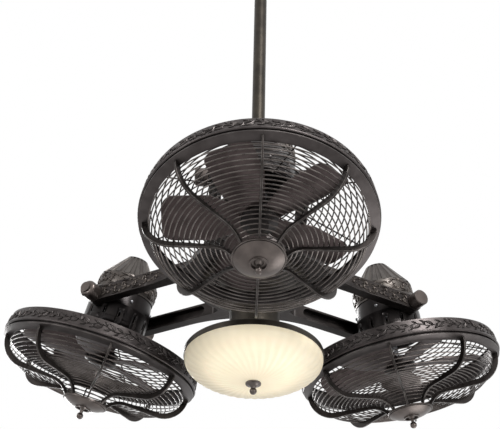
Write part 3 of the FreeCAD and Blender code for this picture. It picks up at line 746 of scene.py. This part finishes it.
outer = strap_line(0, 0)
inner = strap_line(strap_w, strap_tip_w)
half = Vector((0, strap_t / 2, 0))
for head in heads:
    to_row = head_frame(head)
    shapes = []
    for i in range(straps):
        spin = Matrix.Rotation(2 * math.pi * i / straps, 3, "Z")
        sections = [[to_row @ (spin @ p) for p in (a - half, a + half, b + half, b - half)]
                    for a, b in zip(outer, inner)]
        shapes.append(skin(sections))
    guard = make_piece("guard_straps_" + head, shapes, strap_enamel, "head_" + head)
    rounding = guard.modifiers.new("rolled_edges", "BEVEL")
    rounding.width = strap_rounding * mm
    rounding.segments = 2
    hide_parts("front_guard_" + head)
    shapes = [hoop(seat.x, seat.z, to_row) for seat in spaced(inner, front_rings)]
    rings = make_piece("guard_rings_" + head, shapes, highlit_ring_enamel, "head_" + head)
    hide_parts("front_guard_" + head)


# Guard caps and finials: the cap is spun from sheet, the finial turned, and both wear the smooth enamel.
# A screw through the finial holds the cap over the straps' ends.

dress(each("guard_cap", "cap_finial"), lit_turned_enamel)


# Light: a spun pan, a cream glass bowl with swirling flutes, and a finial on the stem that holds them up.
# The bowl is pressed opal glass, with lamps in porcelain holders inside; its glow is painted on, most
# towards the front.

def cream_glass():
    """Pressed opal glass, cased in cream: milky, with a waxy skin, and a painted glow for the lamps inside.

    The glow is painted on as emission, strongest towards the front, with painted shade near the stem. Near
    the rim and behind, the flutes show as painted bands of light and shade.
    """
    rough = 0.5
    soak = 0.25
    soak_depth = (0.012, 0.009, 0.006)
    cloud_mm = 35.0
    # The painted glow is centred here, a little towards the front.
    glow_middle = (0.0, -0.036, 0.0)    # places and distances in the bowl in metres
    glow_ends = (0.122, 0.06)
    glow_levels = (0.11, 0.46)
    stem_shade = (0.68, 0.08)           # level at the stem, and how far out its shade reaches
    band_ends = (0.085, 0.12)
    band_dark = 0.38
    made = bpy.data.materials.new("cream_opal_glass")
    made.use_nodes = True
    tree = made.node_tree
    finish = tree.nodes["Principled BSDF"]
    finish.inputs["Roughness"].default_value = rough
    finish.inputs["IOR"].default_value = 1.5
    finish.inputs["Subsurface Weight"].default_value = soak
    finish.inputs["Subsurface Radius"].default_value = soak_depth
    place = add(tree, "ShaderNodeTexCoord").outputs["Object"]
    cloud = add(tree, "ShaderNodeTexNoise", {"Scale": 1000 / cloud_mm, "Detail": 3.0}, {"Vector": place})
    colour = add(tree, "ShaderNodeMix", {"data_type": "RGBA", 6: srgb("#cabea5"), 7: srgb("#d8cdb6")},
                 {0: cloud.outputs["Fac"]})
    tree.links.new(colour.outputs[2], finish.inputs["Base Color"])
    parts = add(tree, "ShaderNodeSeparateXYZ", {}, {0: place})
    flat = add(tree, "ShaderNodeCombineXYZ", {}, {0: parts.outputs[0], 1: parts.outputs[1]})
    reach = add(tree, "ShaderNodeVectorMath", {"operation": "LENGTH"}, {0: flat.outputs[0]})
    from_glow_middle = add(tree, "ShaderNodeVectorMath", {"operation": "DISTANCE", 1: glow_middle},
                    {0: flat.outputs[0]})
    # Painted glow: brightest near its middle, fading towards the rim.
    glow = add(tree, "ShaderNodeMapRange",
               {"interpolation_type": "SMOOTHSTEP", "From Min": glow_ends[0], "From Max": glow_ends[1],
                "To Min": glow_levels[0], "To Max": glow_levels[1]},
               {"Value": from_glow_middle.outputs["Value"]})
    # Painted shade near the stem.
    shade = add(tree, "ShaderNodeMapRange",
                {"interpolation_type": "SMOOTHSTEP", "From Max": stem_shade[1],
                 "To Min": stem_shade[0], "To Max": 1.0},
                {"Value": reach.outputs["Value"]})
    glow = add(tree, "ShaderNodeMath", {"operation": "MULTIPLY"}, {0: glow.outputs[0], 1: shade.outputs[0]})
    turn = add(tree, "ShaderNodeMath", {"operation": "ARCTAN2"}, {0: parts.outputs[1], 1: parts.outputs[0]})
    swept = add(tree, "ShaderNodeMath", {"operation": "MULTIPLY_ADD", 1: flute_sweep / bowl_r},
                {0: reach.outputs["Value"], 2: turn.outputs[0]})
    wave = add(tree, "ShaderNodeMath", {"operation": "MULTIPLY", 1: float(flutes)}, {0: swept.outputs[0]})
    wave = add(tree, "ShaderNodeMath", {"operation": "COSINE"}, {0: wave.outputs[0]})
    crest = add(tree, "ShaderNodeMapRange", {"From Min": -1.0}, {"Value": wave.outputs[0]})
    # Painted shade: dark bands on the flutes, far from the glow's middle.
    dark = add(tree, "ShaderNodeMapRange",
               {"From Min": band_ends[0], "From Max": band_ends[1], "To Max": band_dark},
               {"Value": from_glow_middle.outputs["Value"]})
    band = add(tree, "ShaderNodeMath", {"operation": "MULTIPLY"}, {0: crest.outputs[0], 1: dark.outputs[0]})
    left = add(tree, "ShaderNodeMath", {"operation": "SUBTRACT", 0: 1.0}, {1: band.outputs[0]})
    glow = add(tree, "ShaderNodeMath", {"operation": "MULTIPLY"}, {0: glow.outputs[0], 1: left.outputs[0]})
    finish.inputs["Emission Color"].default_value = srgb("#fff2d2")
    tree.links.new(glow.outputs[0], finish.inputs["Emission Strength"])
    return made


low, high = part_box("glass_bowl")
bowl_r = high.x
bowl_top = high.z
lip = 0.0135            # lip inside the pan and the upright wall below it, m
bowl_drop = bowl_top - lip - low.z
glass_t = 0.004
hole_r = 0.00505
flutes = 40
flute_depth = 0.0009
flute_sweep = 0.25      # how far a flute turns from the middle to the rim, in radians
rim_fade = 12           # the flutes run out quickly at the rim and slowly towards the middle
middle_fade = 2.5
bowl_steps = 480
bowl_rows = 28


def bowl_line(shell):
    """Places down the bowl's side to its middle, set in from the outer face, and the way each one faces."""
    places = []
    last = math.acos((hole_r + shell / bowl_r * hole_r) / bowl_r)
    for i in range(bowl_rows + 1):
        angle = last * i / bowl_rows
        facing = Vector((bowl_drop * math.cos(angle), -bowl_r * math.sin(angle))).normalized()
        place = Vector((bowl_r * math.cos(angle), bowl_top - lip - bowl_drop * math.sin(angle)))
        places.append((place - facing * shell, facing))
    return places


outer_line = bowl_line(0)
inner = [Vector((bowl_r - glass_t, bowl_top))] + [place for place, facing in bowl_line(glass_t)]
sections = []
for k in range(bowl_steps):
    turn = 2 * math.pi * k / bowl_steps
    outer = [Vector((bowl_r, bowl_top))]
    for place, facing in outer_line:
        share = place.x / bowl_r
        wave = math.cos(flutes * (turn + flute_sweep * share))
        fade = min(1, (1 - share) * rim_fade) * min(1, middle_fade * share * share)
        depth = flute_depth * fade * (1 - wave) / 2
        outer.append(place - facing * depth)
    sections.append([round_about(p.x, turn, p.y) for p in outer + inner[::-1]])
bowl = make_piece("fluted_bowl", [skin(sections, loop=True)], cream_glass(), "frame")
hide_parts("glass_bowl")

# Glazed porcelain: white and glossy, with a faint cloudiness. The lamps' white glass looks the same.
glaze_rough = 0.2
glaze_cloud_mm = 6.0
porcelain = bpy.data.materials.new("glazed_porcelain")
porcelain.use_nodes = True
tree = porcelain.node_tree
finish = tree.nodes["Principled BSDF"]
finish.inputs["Roughness"].default_value = glaze_rough
place = add(tree, "ShaderNodeTexCoord").outputs["Object"]
cloud = add(tree, "ShaderNodeTexNoise", {"Scale": 1000 / glaze_cloud_mm}, {"Vector": place})
tone = add(tree, "ShaderNodeMix", {"data_type": "RGBA", 6: srgb("#e4e1da"), 7: srgb("#f1efe9")},
           {0: cloud.outputs["Fac"]})
tree.links.new(tone.outputs[2], finish.inputs["Base Color"])
dress(["lamp_holders", "lamps"], porcelain)
dress(["light_pan"], enamel)
dress(["bowl_finial"], lit_turned_enamel)
dress(["bowl_stem"], ground_steel)
